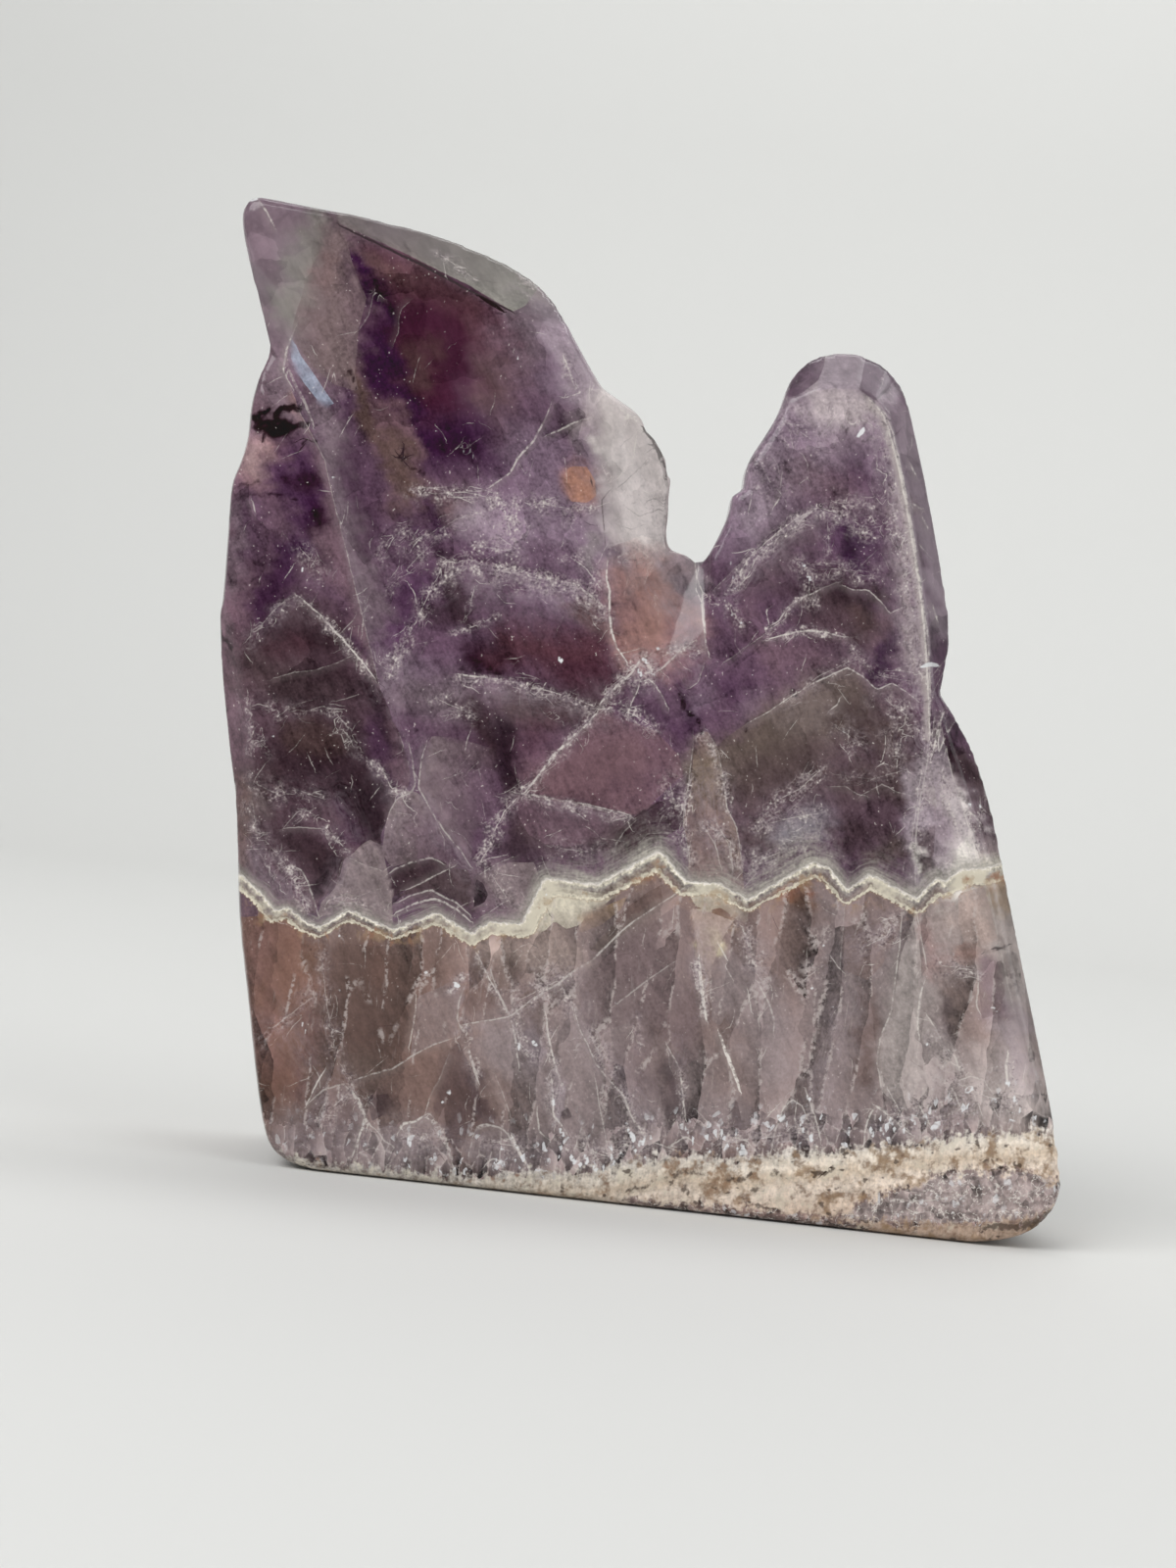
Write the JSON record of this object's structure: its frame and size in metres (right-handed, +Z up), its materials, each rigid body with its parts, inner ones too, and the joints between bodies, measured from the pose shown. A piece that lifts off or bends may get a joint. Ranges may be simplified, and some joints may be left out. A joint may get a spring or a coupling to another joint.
{
  "type": "polished amethyst freeform",
  "caption": "Free-standing polished chevron amethyst slab with a tall blade-shaped point and a shorter round-headed point, purple above a white band and grey below.",
  "frame": {"origin": "on the ground, at the middle of the bounding box", "axes": "+Z up, -Y out of the flat polished front face, +X to the right seen from the front"},
  "size_m": [0.094, 0.0238, 0.0981],
  "materials": {
    "amethyst": "polished quartz, partly clear, with cloudy veils and bands"
  },
  "bodies": {
    "root": {"amethyst": "amethyst"}
  },
  "joints": []
}
